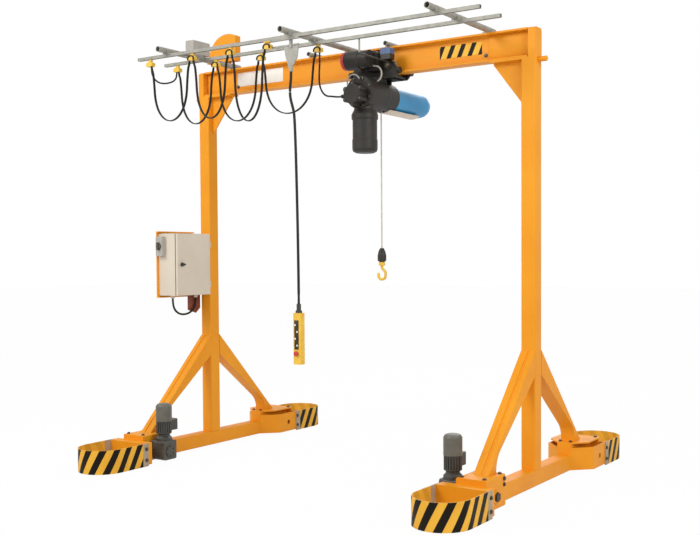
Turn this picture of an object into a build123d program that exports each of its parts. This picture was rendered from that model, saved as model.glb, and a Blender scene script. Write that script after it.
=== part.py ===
from build123d import *
import math
import os

# Electric portal gantry crane with a rope hoist on a monorail girder.
# X runs along the girder, the driven wheels are on the -Y side, Z is up from the floor.

# Portal frame
SPAN = 2800.0
COLUMN = 100.0
COLUMN_R = 9.0
GIRDER_BOTTOM = 2785.0
GIRDER_H = 188.0
FLANGE_W = 95.0
FLANGE_T = 12.0
WEB_T = 8.0
ROOT_R = 9.0
GIRDER_END_GAP = 7.0
END_BLOCK_T = 50.0
END_BLOCK_R = 18.0
HEAD_T = 12.0
HEAD_REACH = 224.0
GUSSET_W = 214.0
GUSSET_H = 268.0
GUSSET_T = 14.0
PEG_D = 34.0
PEG_L = 62.0
BEAM_BOTTOM = 23.0
BEAM_H = 105.0
BEAM_R = 8.0
BRACE_TOP = 900.0
BRACE_DROP = 160.0
BRACE_FOOT_OUT = 708.0
BRACE_FOOT_W = 104.0
BRACE_KNEE_H = 84.0
BRACE_KNEE_R = 150.0
BRACE_GROOVE_W = 18.0
BRACE_GROOVE_D = 5.0

# Wheel carriages, wheels and guards
WHEEL_D = 200.0
WHEEL_W = 66.0
AXLE_D = 38.0
AXLE_FIT = 0.3
FRONT_AXLE_Y = 707.0
REAR_AXLE_Y = 774.0
CARRIAGE_TOP = 216.0
CARRIAGE_WALL = 10.0
WHEEL_ROOM = 14.0
FRONT_HALF = 100.0
HEAD_DEPTH = 78.0
REAR_START = 540.0
GUARD_HALF = 180.0
GUARD_T = 8.0
GUARD_BOTTOM = 15.0
GUARD_H = 165.0
GUARD_CENTRE = 1120.0
GUARD_LEG_END = 870.0
FRONT_SHIFT = 20.0
LID_INSET = 30.0
WING_H = 155.0
NUT_D = 58.0
NUT_T = 12.0

# Travel drives
DRIVE_OFFSET = 189.0
GEARBOX_BOTTOM = 40.0
GEARBOX_TOP = 178.0
GEARBOX_W = 124.0
DRIVE_BODY_D = 112.0
DRIVE_TOP = 447.0
FIN_COUNT = 20
FIN_W = 7.0
FIN_D = 6.0

# Control cabinet
CAB_D = 198.0
CAB_W = 366.0
CAB_H = 478.0
CAB_Z = 1222.0
CAB_WALL = 4.0
CAB_SHIFT = 6.0
DOOR_T = 16.0
DOOR_GAP = 0.6
GLAND_D = 30.0
GLAND_L = 22.0
GLAND_PITCH = 250.0
HINGE_D = 10.0
HINGE_L = 46.0
BACK_T = 9.0
BACK_LIP = 24.0
BACK_MARGIN = 17.0
SWITCH_W = 68.0
SWITCH_H = 150.0
SWITCH_D = 36.0
KNOB_D = 46.0
KNOB_T = 22.0

# Cable rails over the girder
ARM_D = 40.0
ARM_WALL = 3.0
ARM_X = 1108.0
ARM_FRONT = 822.0
ARM_BACK = 46.0
SADDLE_T = 8.0
RAIL_W = 24.0
RAIL_H = 22.0
RAIL_DROP = 5.0
RAIL_WALL = 3.0
RAIL_SLOT = 10.0
RAIL_LEFT = 1385.0
RAIL_RIGHT = 1420.0
OUTER_Y = 740.0
INNER_Y = 475.0
CARRIER_L = 56.0
CARRIER_W = 36.0
CARRIER_H = 50.0
SADDLE_H = 32.0
SADDLE_CUT = 4.0
STEM_W = 14.0
RUN_GAP = 0.5
SEAT = 0.3
LIFT_TUBE_X = 333.0
LIFT_TUBE_D = 33.0
LIFT_TUBE_L = 164.0
HOOD_L = 295.0
HOOD_H = 211.0
HOOD_T = 60.0
HOOD_RIGHT = -1083.0
HOOD_LIFT = 66.0
JUNCTION_X = -1010.0
JUNCTION_L = 80.0
JUNCTION_W = 176.0
JUNCTION_H = 94.0
JUNCTION_LIFT = 17.0

# Hoist
HOIST_X = 245.0
PLATE_L = 380.0
PLATE_T = 12.0
PLATE_Y = 70.0
PLATE_TOP = 2880.0
ROLLER_D = 80.0
ROLLER_W = 27.0
ROLLER_X = 112.0
CROSS_BOTTOM = 2750.0
TIE_D = 20.0
BUFFER_D = 44.0
CROSS_T = 18.0
DRUM_DROP = 114.0
DRUM_R = 90.0
DRUM_FRONT = 30.0
DRUM_BACK = 575.0
RING_T = 12.0
RING_BACK = 88.0
TRAY_T = 7.0
TRAY_BACK = 420.0
TRAY_SHARE = 0.88
ROPE_SLOT = 44.0
CASE_R = 112.0
CASE_FRONT = 282.0
COVER_R = 68.0
COVER_L = 88.0
COVER_DROP = 22.0
LOBES = 6
LOBE_R = 18.0
MOTOR_D = 176.0
MOTOR_Y = 206.0
MOTOR_L = 408.0
DRIVE_RISE = 8.0
DRIVE_Y = 195.0
ROPE_D = 10.0
BLOCK_TOP = 1574.0
BLOCK_H = 98.0
HOOK_R = 27.0
HOOK_D = 20.0
HOOK_DROP = 142.0

# Pendant control
PENDANT_X = 8.0
STEM_BACK = 4.0
TOW_D = 12.0
TOW_X = 132.0
TOW_DROP = 26.0
TOW_BACK = 14.0
CONTROL_X = 57.0
PENDANT_Y = 718.0
PENDANT_W = 66.0
PENDANT_T = 52.0
PENDANT_H = 340.0
PENDANT_Z = 804.0
NECK_L = 60.0
BAR_H = 8.0
PLATE_HANG = 36.0

# Cables and the places of their carriers along the rails
CABLE_D = 12.0
PENDANT_CABLE_D = 18.0
CABINET_CABLE_D = 16.0
OUTER_STOPS = (-1265.0, -853.0, -497.0, -168.0)
INNER_STOPS = (-1257.0, -872.0, -448.0, 52.0)
OUTER_DROPS = (410.0, 422.0, 468.0)
INNER_DROPS = (402.0, 412.0, 396.0)

# Places worked out from the sizes above
COL_X = SPAN / 2
GIRDER_TOP = GIRDER_BOTTOM + GIRDER_H
COL_FACE = COLUMN / 2
BEAM_TOP = BEAM_BOTTOM + BEAM_H
WHEEL_R = WHEEL_D / 2
GUARD_IN = GUARD_HALF - GUARD_T
FRONT_START = FRONT_AXLE_Y - WHEEL_R - WHEEL_ROOM - CARRIAGE_WALL
FRONT_END = FRONT_AXLE_Y + WHEEL_R + WHEEL_ROOM + CARRIAGE_WALL
REAR_END = REAR_AXLE_Y + WHEEL_R + WHEEL_ROOM + CARRIAGE_WALL
ARM_Z = GIRDER_TOP + ARM_D / 2
RAIL_Z = GIRDER_TOP - RAIL_DROP - RAIL_H
CARRIER_TOP = RAIL_Z - RUN_GAP
CARRIER_BOTTOM = CARRIER_TOP - CARRIER_H
CAB_X = -COL_X + COLUMN / 2 + CAB_SHIFT
CAB_Y = -COL_FACE
DRUM_Z = CROSS_BOTTOM - DRUM_DROP

nodes = {}


def block(x0, x1, y0, y1, z0, z1):
    """Box between two corners."""
    return Pos((x0 + x1) / 2, (y0 + y1) / 2, (z0 + z1) / 2) * Box(x1 - x0, y1 - y0, z1 - z0)


def rod(x, y, z, d, length, axis):
    """Cylinder that starts at a point and runs along an axis."""
    turn = {"x": (0, 90, 0), "-x": (0, -90, 0), "y": (-90, 0, 0), "-y": (90, 0, 0),
            "z": (0, 0, 0), "-z": (180, 0, 0)}[axis]
    base = Cylinder(d / 2, length, align=(Align.CENTER, Align.CENTER, Align.MIN))
    return Location((x, y, z), turn) * base


def soften(solid, radius, axis):
    """Rounds the edges that run along one axis."""
    return fillet(solid.edges().filter_by(axis), radius)


def plate_xz(points, y0, y1):
    """Flat outline in X and Z, as thick as y0 to y1."""
    face = make_face(Polyline(*[(x, y0, z) for x, z in points], close=True))
    return extrude(face, amount=y1 - y0, dir=(0, 1, 0))


def plate_yz(points, x0, x1):
    """Flat outline in Y and Z, as wide as x0 to x1."""
    face = make_face(Polyline(*[(x0, y, z) for y, z in points], close=True))
    return extrude(face, amount=x1 - x0, dir=(1, 0, 0))


def plate_xy(points, z0, z1):
    """Flat outline in X and Y, as tall as z0 to z1."""
    face = make_face(Polyline(*[(x, y, z0) for x, y in points], close=True))
    return extrude(face, amount=z1 - z0, dir=(0, 0, 1))


def turned(points, x, y, z, turn=(0, 0, 0)):
    """Solid of revolution from (radius, height) points, then turned and placed."""
    face = make_face(Polyline(*[(r, 0, h) for r, h in points], close=True))
    return Location((x, y, z), turn) * revolve(face, axis=Axis.Z)


def flip_x(shape):
    return mirror(shape, about=Plane.YZ)


def flip_y(shape):
    return mirror(shape, about=Plane.XZ)


def cord(points, d, name):
    """Tube along straight runs joined by the largest arcs that the runs leave room for."""
    pts = [Vector(*p) for p in points]
    radii = []
    for a, b, c in zip(pts, pts[1:], pts[2:]):
        turn = math.radians((b - a).get_angle(c - b))
        radii.append(0.45 * min((b - a).length, (c - b).length) / math.tan(turn / 2))
    path = FilletPolyline(*pts, radius=radii)
    start = Plane(origin=path @ 0, z_dir=path % 0)
    tube = sweep(start * Circle(d / 2), path=path)
    share = tube.volume / (math.pi * d * d / 4 * path.length)
    print(name, "radii", [round(r) for r in radii], "volume share", round(share, 4))
    return tube


# Girder: rolled I section
half_w = FLANGE_W / 2
half_t = WEB_T / 2
section = [(-half_w, 0), (half_w, 0), (half_w, FLANGE_T), (half_t, FLANGE_T),
           (half_t, GIRDER_H - FLANGE_T), (half_w, GIRDER_H - FLANGE_T), (half_w, GIRDER_H),
           (-half_w, GIRDER_H), (-half_w, GIRDER_H - FLANGE_T), (-half_t, GIRDER_H - FLANGE_T),
           (-half_t, FLANGE_T), (-half_w, FLANGE_T)]
girder_end = COL_X + COL_FACE - END_BLOCK_T - GIRDER_END_GAP
girder = plate_yz([(y, GIRDER_BOTTOM + z) for y, z in section], -girder_end, girder_end)
inside = [e for e in girder.edges().filter_by(Axis.X) if abs(abs(e.center().Y) - half_t) < 0.1]
nodes["girder"] = fillet(inside, ROOT_R)


# Columns: square tube with head plate, gusset, end block and peg welded on
def column():
    foot = soften(block(COL_X - COL_FACE, COL_X + COL_FACE, -COL_FACE, COL_FACE,
                        BEAM_TOP, GIRDER_BOTTOM - HEAD_T), COLUMN_R, Axis.Z)
    head = block(COL_X - COL_FACE - HEAD_REACH, COL_X + COL_FACE, -COL_FACE, COL_FACE,
                 GIRDER_BOTTOM - HEAD_T, GIRDER_BOTTOM)
    under = GIRDER_BOTTOM - HEAD_T
    face = COL_X - COL_FACE
    gusset = plate_xz([(face + 1, under), (face - GUSSET_W, under), (face - GUSSET_W, under - 14),
                       (face - 16, under - GUSSET_H), (face + 1, under - GUSSET_H)],
                      -GUSSET_T / 2, GUSSET_T / 2)
    end = block(COL_X + COL_FACE - END_BLOCK_T, COL_X + COL_FACE, -COL_FACE, COL_FACE,
                GIRDER_BOTTOM, GIRDER_TOP)
    top = end.edges().filter_by(Axis.X).group_by(Axis.Z)[-1]
    end = fillet(top, END_BLOCK_R)
    peg = rod(COL_X + COL_FACE - 1, 0, GIRDER_BOTTOM - HEAD_T / 2 - PEG_D / 4, PEG_D, PEG_L, "x")
    peg = chamfer(peg.edges().group_by(Axis.X)[-1], 4)
    return foot + head + gusset + end + peg


nodes["right_column"] = column()
nodes["left_column"] = flip_x(nodes["right_column"])

# End beams: box sections along the floor
end_beam = block(COL_X - COL_FACE, COL_X + COL_FACE, -FRONT_START, REAR_START, BEAM_BOTTOM, BEAM_TOP)
nodes["right_end_beam"] = soften(end_beam, BEAM_R, Axis.Y)
nodes["left_end_beam"] = flip_x(nodes["right_end_beam"])


# Braces: deep flared struts with a groove along the outer face
def brace(foot_z):
    knee = (BRACE_FOOT_OUT - BRACE_FOOT_W, foot_z + BRACE_KNEE_H)
    outline = [(COL_FACE, BRACE_TOP), (BRACE_FOOT_OUT, foot_z), (BRACE_FOOT_OUT - BRACE_FOOT_W, foot_z),
               knee, (COL_FACE, BRACE_TOP - BRACE_DROP)]
    body = plate_yz(outline, COL_X - COL_FACE, COL_X + COL_FACE)
    bend = [e for e in body.edges().filter_by(Axis.X)
            if abs(e.center().Y - knee[0]) < 0.1 and abs(e.center().Z - knee[1]) < 0.1]
    body = fillet(bend, BRACE_KNEE_R)
    rise = math.atan2(BRACE_TOP - foot_z, BRACE_FOOT_OUT - COL_FACE)
    dy = BRACE_GROOVE_D * math.sin(rise)
    dz = BRACE_GROOVE_D * math.cos(rise)
    ext = 40.0
    a = (COL_FACE - ext, BRACE_TOP + ext * math.tan(rise))
    b = (BRACE_FOOT_OUT + ext, foot_z - ext * math.tan(rise))
    groove = plate_yz([(a[0] - dy, a[1] - dz), (b[0] - dy, b[1] - dz), (b[0] + dy, b[1] + dz),
                       (a[0] + dy, a[1] + dz)],
                      COL_X - BRACE_GROOVE_W / 2 + 6, COL_X + BRACE_GROOVE_W / 2 + 6)
    return body - groove


rear_brace = brace(CARRIAGE_TOP)
front_brace = flip_y(rear_brace)
nodes["right_braces"] = Compound(children=[front_brace, rear_brace])
nodes["left_braces"] = Compound(children=[flip_x(front_brace), flip_x(rear_brace)])


# Front carriages: narrow wheel box with a cross head that carries the guard
def front_carriage():
    body = block(COL_X - FRONT_HALF, COL_X + FRONT_HALF, -FRONT_END, -FRONT_START,
                 BEAM_BOTTOM, CARRIAGE_TOP)
    body = soften(body, 12, Axis.Y)
    mid = COL_X - FRONT_SHIFT
    cross = block(mid - GUARD_IN, mid + GUARD_IN, -FRONT_END - HEAD_DEPTH, -FRONT_END,
                  BEAM_BOTTOM, GUARD_BOTTOM + GUARD_H)
    room = block(COL_X - FRONT_HALF + CARRIAGE_WALL, COL_X + FRONT_HALF - CARRIAGE_WALL,
                 -FRONT_END + CARRIAGE_WALL, -FRONT_START - CARRIAGE_WALL,
                 BEAM_BOTTOM - 1, CARRIAGE_TOP - CARRIAGE_WALL)
    boss = rod(COL_X + FRONT_HALF - 1, -FRONT_AXLE_Y, WHEEL_R, NUT_D + 26, 7, "x")
    hole = rod(COL_X - 300, -FRONT_AXLE_Y, WHEEL_R, AXLE_D + 2 * AXLE_FIT, 600, "x")
    return body + cross - room + boss - hole


# Rear carriages: flared wing plates, raised top plate and an open underside
def rear_carriage():
    flare = GUARD_IN - COL_FACE
    outer = [(COL_X - COL_FACE, REAR_START), (COL_X + COL_FACE, REAR_START),
             (COL_X + GUARD_IN, REAR_START + flare), (COL_X + GUARD_IN, REAR_END),
             (COL_X - GUARD_IN, REAR_END), (COL_X - GUARD_IN, REAR_START + flare)]
    w = CARRIAGE_WALL
    inner = [(COL_X - COL_FACE - w * 0.4, REAR_START + w), (COL_X + COL_FACE + w * 0.4, REAR_START + w),
             (COL_X + GUARD_IN - w, REAR_START + flare + w * 0.4 + 6), (COL_X + GUARD_IN - w, REAR_END - w),
             (COL_X - GUARD_IN + w, REAR_END - w), (COL_X - GUARD_IN + w, REAR_START + flare + w * 0.4 + 6)]
    walls = plate_xy(outer, BEAM_BOTTOM, BEAM_BOTTOM + WING_H) - plate_xy(inner, 0, CARRIAGE_TOP)
    half = GUARD_IN - LID_INSET
    lid_end = REAR_END - LID_INSET
    cover = [(COL_X - COL_FACE, REAR_START), (COL_X + COL_FACE, REAR_START),
             (COL_X + half, REAR_START + half - COL_FACE), (COL_X + half, lid_end),
             (COL_X - half, lid_end), (COL_X - half, REAR_START + half - COL_FACE)]
    lid = plate_xy(cover, CARRIAGE_TOP - w, CARRIAGE_TOP)
    corners = [e for e in lid.edges().filter_by(Axis.Z) if abs(e.center().X - COL_X) > COL_FACE + 1]
    lid = fillet(corners, 16)
    cheeks = []
    for side in (-1, 1):
        x = COL_X + side * (WHEEL_W / 2 + 16)
        cheeks.append(block(x - 6, x + 6, REAR_START + w - 1, REAR_END - w + 1, BEAM_BOTTOM + 12,
                            BEAM_BOTTOM + WING_H))
        cheeks.append(block(x - 6, x + 6, REAR_START + w - 1, lid_end, BEAM_BOTTOM + WING_H - 1,
                            CARRIAGE_TOP - w + 1))
    hole = rod(COL_X - 300, REAR_AXLE_Y, WHEEL_R, AXLE_D + 2 * AXLE_FIT, 600, "x")
    back = block(COL_X - half + 16, COL_X + half - 16, lid_end - w, lid_end, BEAM_BOTTOM + WING_H - 1,
                 CARRIAGE_TOP - w + 1)
    front = block(COL_X - COL_FACE, COL_X + COL_FACE, REAR_START, REAR_START + w,
                  BEAM_BOTTOM + WING_H - 1, CARRIAGE_TOP - w + 1)
    return walls + lid + cheeks + back + front - hole


right_front = front_carriage()
right_rear = rear_carriage()
nodes["front_carriages"] = Compound(children=[right_front, flip_x(right_front)])
nodes["rear_carriages"] = Compound(children=[right_rear, flip_x(right_rear)])


# Travel wheels with their axles
def wheel(y, left_end, right_end):
    half = WHEEL_W / 2
    profile = [(0, -left_end), (AXLE_D / 2, -left_end), (AXLE_D / 2, -half - 4), (42, -half - 4),
               (42, -half + 6), (70, -half + 10), (WHEEL_R - 16, -half), (WHEEL_R - 5, -half),
               (WHEEL_R, -half + 5),
               (WHEEL_R, half - 5), (WHEEL_R - 5, half), (WHEEL_R - 16, half), (70, half - 10),
               (42, half - 6), (42, half + 4), (AXLE_D / 2, half + 4), (AXLE_D / 2, right_end),
               (0, right_end)]
    return turned(profile, COL_X, y, WHEEL_R, (0, 90, 0))


front_wheel = wheel(-FRONT_AXLE_Y, FRONT_HALF, FRONT_HALF + 6)
nut_x = COL_X + FRONT_HALF + 6
nut = Location((nut_x, -FRONT_AXLE_Y, WHEEL_R), (0, 90, 0)) * extrude(RegularPolygon(NUT_D / 2, 6), NUT_T)
front_wheel = front_wheel + nut
cheek_out = WHEEL_W / 2 + 22
rear_wheel = wheel(REAR_AXLE_Y, cheek_out + 4, cheek_out + 4)
nodes["travel_wheels"] = Compound(children=[front_wheel, flip_x(front_wheel), rear_wheel, flip_x(rear_wheel)])


# Wheel guards: bent flat bands
def guard():
    legs = GUARD_CENTRE - GUARD_LEG_END
    rim = Cylinder(GUARD_HALF, GUARD_H) - Cylinder(GUARD_IN, GUARD_H)
    rim = rim - Pos(0, GUARD_HALF, 0) * Box(4 * GUARD_HALF, 2 * GUARD_HALF, 2 * GUARD_H)
    for side in (-1, 1):
        leg = Box(GUARD_T, legs, GUARD_H)
        rim = rim + Pos(side * (GUARD_HALF - GUARD_T / 2), legs / 2, 0) * leg
    return Pos(COL_X, -GUARD_CENTRE, GUARD_BOTTOM + GUARD_H / 2) * rim


band = guard()
front_guard = Pos(-FRONT_SHIFT, 0, 0) * band
rear_guard = flip_y(band)
nodes["front_guards"] = Compound(children=[front_guard, flip_x(front_guard)])
nodes["rear_guards"] = Compound(children=[rear_guard, flip_x(rear_guard)])


# Travel drives: right-angle gearbox on the wheel axle with an upright motor
def drive_gearbox():
    near = COL_X - FRONT_HALF
    far = COL_X - DRIVE_OFFSET - GEARBOX_W / 2
    body = block(far, near - 14, -FRONT_AXLE_Y - GEARBOX_W / 2, -FRONT_AXLE_Y + GEARBOX_W / 2,
                 GEARBOX_BOTTOM, GEARBOX_TOP)
    body = soften(body, 14, Axis.X)
    flange = rod(near, -FRONT_AXLE_Y, WHEEL_R, 104, 15, "-x")
    cover = rod(far + 1, -FRONT_AXLE_Y, WHEEL_R, 84, 9, "-x")
    return body + flange + cover


def drive_motor():
    r = DRIVE_BODY_D / 2
    fin_top = GEARBOX_TOP + 140
    profile = [(0, GEARBOX_TOP), (r + 3, GEARBOX_TOP), (r + 3, GEARBOX_TOP + 18), (r - 13, GEARBOX_TOP + 34),
               (r - 13, GEARBOX_TOP + 44), (r, GEARBOX_TOP + 52), (r, fin_top), (r + 2, fin_top),
               (r + 2, DRIVE_TOP - 20), (r - 8, DRIVE_TOP - 5), (r - 22, DRIVE_TOP), (0, DRIVE_TOP)]
    x = COL_X - DRIVE_OFFSET
    body = turned(profile, x, -FRONT_AXLE_Y, 0)
    z0 = GEARBOX_TOP + 58
    for i in range(FIN_COUNT):
        cut = Pos(r, 0, (z0 + fin_top - 4) / 2) * Box(2 * FIN_D, FIN_W, fin_top - 4 - z0)
        body = body - Location((x, -FRONT_AXLE_Y, 0), (0, 0, i * 360 / FIN_COUNT)) * cut
    box = block(x - 32, x + 32, -FRONT_AXLE_Y + r - 12, -FRONT_AXLE_Y + r + 50, z0 + 8, fin_top + 8)
    box = soften(box, 6, Axis.Y)
    return body + box


gearbox = drive_gearbox()
motor = drive_motor()
nodes["drive_gearboxes"] = Compound(children=[gearbox, flip_x(gearbox)])
nodes["drive_motors"] = Compound(children=[motor, flip_x(motor)])

# Control cabinet on the front of the left column, door towards the span
cab_back = CAB_X - CAB_D
cab_front_y = CAB_Y - CAB_W
cab_top = CAB_Z + CAB_H
shell = block(cab_back, CAB_X - DOOR_T - DOOR_GAP, cab_front_y, CAB_Y, CAB_Z, cab_top)
hollow = block(cab_back + CAB_WALL, CAB_X, cab_front_y + CAB_WALL, CAB_Y - CAB_WALL,
               CAB_Z + CAB_WALL, cab_top - CAB_WALL)
cabinet = shell - hollow
gland_y = (cab_front_y + 46, cab_front_y + 46 + GLAND_PITCH)
for y in gland_y:
    cabinet = cabinet + rod(CAB_X - CAB_D / 2, y, CAB_Z + 1, GLAND_D, GLAND_L + 1, "-z")
nodes["cabinet"] = cabinet
hinge_y = CAB_Y - HINGE_D / 2 - 2
hinge_x = CAB_X + 1
door = block(CAB_X - DOOR_T, CAB_X, cab_front_y, hinge_y + 2, CAB_Z + 1, cab_top - 1)
door = fillet(door.edges().group_by(Axis.X)[-1], 3)
for z in (CAB_Z + 60, cab_top - 60 - HINGE_L):
    door = door + rod(hinge_x, hinge_y, z, HINGE_D, HINGE_L, "z")
lock = rod(CAB_X - 1, cab_front_y + 36, CAB_Z + CAB_H / 2, 30, 9, "x")
nodes["cabinet_door"] = door + lock
back_y0 = cab_front_y - BACK_MARGIN
back = block(cab_back - BACK_T, cab_back, back_y0, CAB_Y, CAB_Z - BACK_MARGIN, cab_top + BACK_MARGIN)
lip_low = block(cab_back - BACK_T, cab_back + BACK_LIP, back_y0, CAB_Y, CAB_Z - BACK_MARGIN,
                CAB_Z - BACK_MARGIN + BACK_T)
lip_top = block(cab_back - BACK_T, cab_back + BACK_LIP, back_y0, CAB_Y, cab_top + BACK_MARGIN - BACK_T,
                cab_top + BACK_MARGIN)
nodes["cabinet_back_plate"] = back + lip_low + lip_top
switch_x = cab_back + SWITCH_W / 2 + 6
switch_z = cab_top - SWITCH_H / 2 - 24
switch = block(switch_x - SWITCH_W / 2, switch_x + SWITCH_W / 2, cab_front_y - SWITCH_D, cab_front_y,
               switch_z - SWITCH_H / 2, switch_z + SWITCH_H / 2)
nodes["main_switch_box"] = soften(switch, 8, Axis.Y)
knob_y = cab_front_y - SWITCH_D - AXLE_FIT
knob = rod(switch_x, knob_y, switch_z, KNOB_D, KNOB_T / 2, "-y")
grip = block(switch_x - 7, switch_x + 7, knob_y - KNOB_T, knob_y - 1, switch_z - KNOB_D / 2 - 8,
             switch_z + KNOB_D / 2 + 8)
nodes["main_switch_handle"] = knob + soften(grip, 5, Axis.Y)


# Cable rails: slotted channels under three cross arms
def cable_rail(y):
    w = RAIL_W / 2
    s = RAIL_SLOT / 2
    t = RAIL_WALL
    h = RAIL_H
    shape = [(-w, 0), (-s, 0), (-s, t), (-w + t, t), (-w + t, h - t), (w - t, h - t), (w - t, t), (s, t),
             (s, 0), (w, 0), (w, h), (-w, h)]
    return plate_yz([(y + a, RAIL_Z + b) for a, b in shape], -RAIL_LEFT, RAIL_RIGHT)


nodes["outer_cable_rail"] = cable_rail(-OUTER_Y)
nodes["inner_cable_rail"] = cable_rail(-INNER_Y)


def cable_arm(x):
    length = ARM_FRONT + ARM_BACK
    tube = rod(x, -ARM_FRONT, ARM_Z, ARM_D, length, "y")
    bore = rod(x, -ARM_FRONT - 1, ARM_Z, ARM_D - 2 * ARM_WALL, length + 2, "y")
    saddle = block(x - 36, x + 36, -FLANGE_W / 2, FLANGE_W / 2, GIRDER_TOP, GIRDER_TOP + SADDLE_T)
    arm = tube + saddle
    for y in (-OUTER_Y, -INNER_Y):
        arm = arm + block(x - 22, x + 22, y - RAIL_W / 2, y + RAIL_W / 2, RAIL_Z + RAIL_H, ARM_Z)
    return arm - bore


arms = [cable_arm(x) for x in (-ARM_X, 0, ARM_X)]
nodes["cable_rail_arms"] = Compound(children=arms)


def lift_tube(x):
    z = GIRDER_TOP + LIFT_TUBE_D / 2 + 3
    tube = rod(x, -LIFT_TUBE_L / 2, z, LIFT_TUBE_D, LIFT_TUBE_L, "y")
    pad = block(x - 22, x + 22, -FLANGE_W / 2, FLANGE_W / 2, GIRDER_TOP, GIRDER_TOP + 6)
    bore = rod(x, -LIFT_TUBE_L, z, LIFT_TUBE_D - 2 * ARM_WALL, 2 * LIFT_TUBE_L, "y")
    return tube + pad - bore


nodes["lifting_tubes"] = Compound(children=[lift_tube(-LIFT_TUBE_X), lift_tube(LIFT_TUBE_X)])

# Supply hood on the left end of the girder
hood_z = GIRDER_TOP + HOOD_LIFT


def hood_point(a, b):
    """Point of the hood's outline, as shares of its length and height."""
    return (HOOD_RIGHT - a * HOOD_L, 0, hood_z + b * HOOD_H)


hood_line = [Line(hood_point(1, 0), hood_point(0, 0)),
             Line(hood_point(0, 0), hood_point(0, 0.91)),
             ThreePointArc(hood_point(0, 0.91), hood_point(0.3, 1.0), hood_point(0.63, 0.87)),
             ThreePointArc(hood_point(0.63, 0.87), hood_point(0.8, 0.63), hood_point(0.925, 0.27)),
             Line(hood_point(0.925, 0.27), hood_point(1, 0))]
hood = extrude(make_face(Wire(hood_line)), amount=HOOD_T / 2, both=True, dir=(0, 1, 0))
stem = block(HOOD_RIGHT - 0.7 * HOOD_L, HOOD_RIGHT - 0.3 * HOOD_L, -HOOD_T / 2 + 6, HOOD_T / 2 - 6,
             GIRDER_TOP, hood_z + 1)
nodes["supply_hood"] = hood + stem
junction_y = -INNER_Y - JUNCTION_W / 4
junction_z = RAIL_Z + RAIL_H + JUNCTION_LIFT
junction = block(JUNCTION_X - JUNCTION_L / 2, JUNCTION_X + JUNCTION_L / 2, junction_y - JUNCTION_W / 2,
                 junction_y + JUNCTION_W / 2, junction_z, junction_z + JUNCTION_H)
junction = soften(junction, 8, Axis.Z)
junction_foot = block(JUNCTION_X - 20, JUNCTION_X + 20, -INNER_Y - RAIL_W / 2, -INNER_Y + RAIL_W / 2,
                      RAIL_Z + RAIL_H, junction_z + 1)
nodes["junction_box"] = junction + junction_foot


# Cable carriers: plastic saddles under the rails
def carrier(x, y, top):
    h = CARRIER_L / 2
    c = SADDLE_CUT
    z = CARRIER_BOTTOM
    shape = [(-h + c, z), (h - c, z), (h, z + c), (h, z + SADDLE_H - 8), (h - 12, z + SADDLE_H),
             (-h + 12, z + SADDLE_H), (-h, z + SADDLE_H - 8), (-h, z + c)]
    body = plate_xz([(x + a, b) for a, b in shape], y - CARRIER_W / 2, y + CARRIER_W / 2)
    return body + block(x - STEM_W, x + STEM_W, y - STEM_W / 2, y + STEM_W / 2, z + SADDLE_H - 1, top)


clamps = [carrier(OUTER_STOPS[0], -OUTER_Y, RAIL_Z), carrier(INNER_STOPS[0], -INNER_Y, RAIL_Z)]
nodes["cable_end_clamps"] = Compound(children=clamps)
for i in (1, 2):
    nodes["outer_cable_carrier_%d" % i] = carrier(OUTER_STOPS[i], -OUTER_Y, CARRIER_TOP)
for i in (1, 2, 3):
    nodes["inner_cable_carrier_%d" % i] = carrier(INNER_STOPS[i], -INNER_Y, CARRIER_TOP)

# Pendant trolley, its hanging plate and the pendant control
bar = block(OUTER_STOPS[3] - CARRIER_L / 2, PENDANT_X + 90, -OUTER_Y - RAIL_W / 2, -OUTER_Y + RAIL_W / 2,
            CARRIER_TOP - BAR_H, CARRIER_TOP)
saddle = carrier(OUTER_STOPS[3], -OUTER_Y, CARRIER_TOP)
tip_z = GIRDER_TOP - 215
plate_top = CARRIER_TOP - PLATE_HANG
hang = plate_xz([(PENDANT_X - 52, plate_top), (PENDANT_X + 72, plate_top), (PENDANT_X + 58, plate_top - 92),
                 (PENDANT_X + 14, tip_z), (PENDANT_X - 14, tip_z), (PENDANT_X - 38, plate_top - 76)],
                -PENDANT_Y - 10, -PENDANT_Y - 2)
hang = hang + block(PENDANT_X, PENDANT_X + 18, -OUTER_Y + STEM_BACK, -PENDANT_Y - 2,
                    plate_top - 24, CARRIER_TOP)
grip_boss = rod(PENDANT_X, -PENDANT_Y, tip_z - 26, 26, 40, "z")
nodes["pendant_trolley"] = bar + saddle + hang + grip_boss
pendant_x = CONTROL_X
pendant = block(pendant_x - PENDANT_W / 2, pendant_x + PENDANT_W / 2, -PENDANT_Y - PENDANT_T / 2,
                -PENDANT_Y + PENDANT_T / 2, PENDANT_Z, PENDANT_Z + PENDANT_H)
pendant = soften(pendant, 12, Axis.Z)
neck_foot = PENDANT_Z + PENDANT_H - 1
neck = turned([(0, 0), (22, 0), (22, 14), (15, 22), (15, NECK_L), (0, NECK_L)],
              pendant_x, -PENDANT_Y, neck_foot)
nodes["pendant_control"] = pendant + neck
buttons = []
button_face = -PENDANT_Y - PENDANT_T / 2
for i in range(5):
    buttons.append(rod(pendant_x, button_face, PENDANT_Z + 120 + 40 * i, 24, 7, "-y"))
buttons.append(rod(pendant_x, button_face, PENDANT_Z + 72, 34, 14, "-y"))
nodes["pendant_buttons"] = Compound(children=buttons)


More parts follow.
